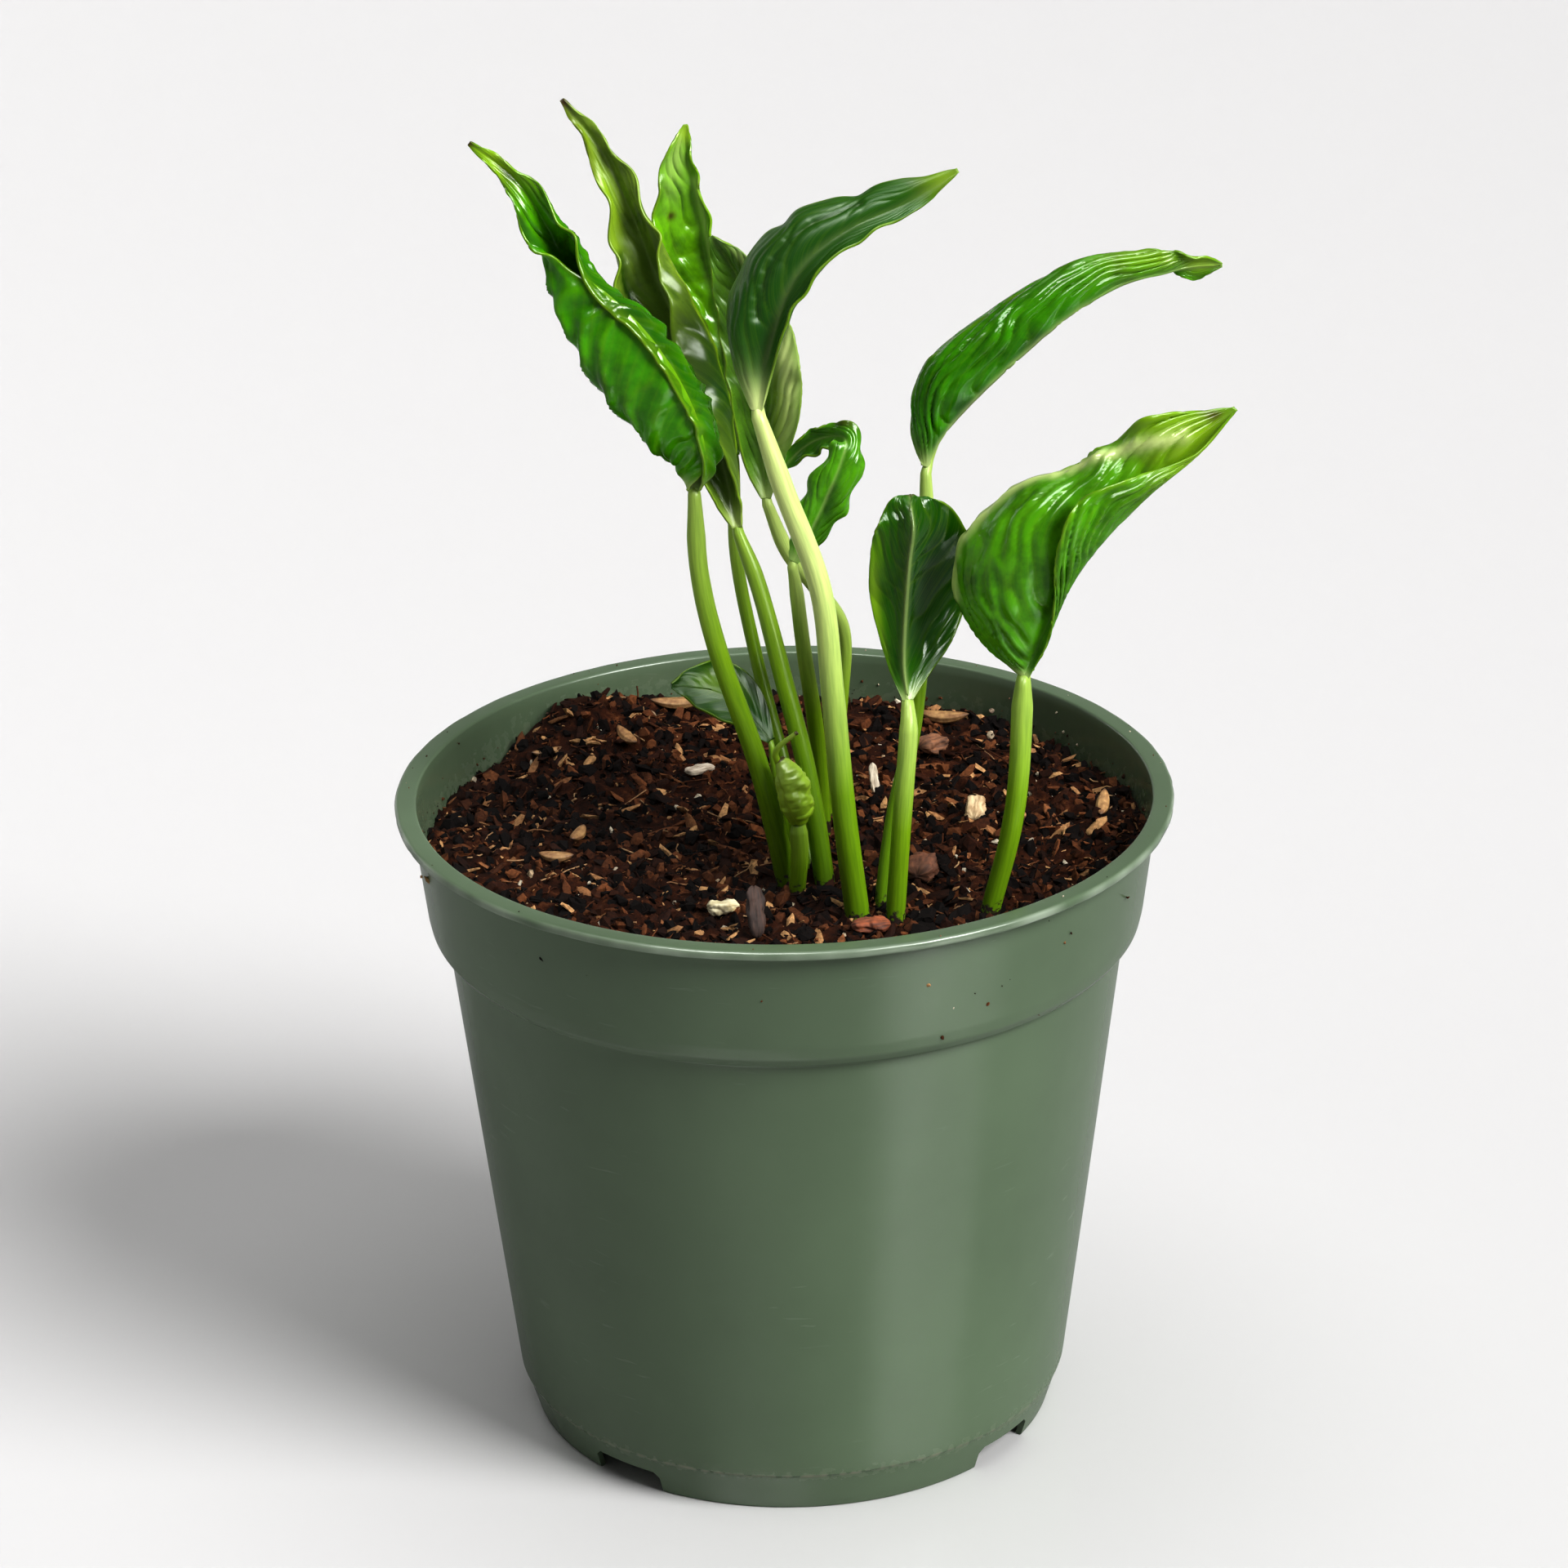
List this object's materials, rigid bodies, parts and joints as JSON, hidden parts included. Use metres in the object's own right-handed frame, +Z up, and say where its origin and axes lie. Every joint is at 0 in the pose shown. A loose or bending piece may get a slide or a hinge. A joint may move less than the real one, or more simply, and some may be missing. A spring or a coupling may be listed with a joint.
{
  "type": "potted pothos plant",
  "caption": "Young pothos with narrow crinkled leaves on upright stalks, growing in potting mix in a round green nursery pot with a banded rim and a notched foot",
  "frame": {"origin": "centre of the pot's underside, on the surface it stands on", "axes": "+Z up, -Y the front face of the plant, +X to the right of the front"},
  "size_m": [0.1155, 0.11, 0.1939],
  "materials": {
    "pot": "satin injection-moulded polypropylene",
    "soil": "loose damp peat and bark potting mix",
    "stalk": "smooth waxy green stalk",
    "leaf": "glossy crinkled green leaf",
    "shoot": "young lime-green tissue",
    "hull": "dry tan seed hull and wood",
    "bark": "rough red-brown bark"
  },
  "bodies": {
    "root": {"bark_chip_back": "bark", "bark_chip_front": "bark", "bark_chip_right": "bark", "cream_chunk": "hull", "emerging_leaf": "shoot", "leaf_arching": "leaf", "leaf_bright_back": "leaf", "leaf_broad_right": "leaf", "leaf_crinkled": "leaf", "leaf_far_right": "leaf", "leaf_rolled_left": "leaf", "leaf_soil": "leaf", "leaf_tall_left": "leaf", "leaf_upright": "leaf", "leaf_variegated": "leaf", "pale_chunk": "hull", "pot": "pot", "seed_hull_back_centre": "hull", "seed_hull_back_left": "hull", "seed_hull_back_right": "hull", "seed_hull_left": "hull", "seed_hull_left_front": "hull", "seed_hull_left_heap": "hull", "seed_hull_wall_left": "hull", "seed_hull_wall_right": "hull", "shoot_sheath": "shoot", "shoot_spur": "shoot", "soil": "soil", "stalk_arching": "stalk", "stalk_bright_back": "stalk", "stalk_broad_right": "stalk", "stalk_crinkled": "stalk", "stalk_far_right": "stalk", "stalk_rolled_left": "stalk", "stalk_soil_leaf": "stalk", "stalk_tall_left": "stalk", "stalk_upright": "stalk", "stalk_variegated": "stalk", "wood_flake_centre": "hull", "wood_flake_upright": "hull", "wood_sliver_dark": "bark"}
  },
  "joints": []
}
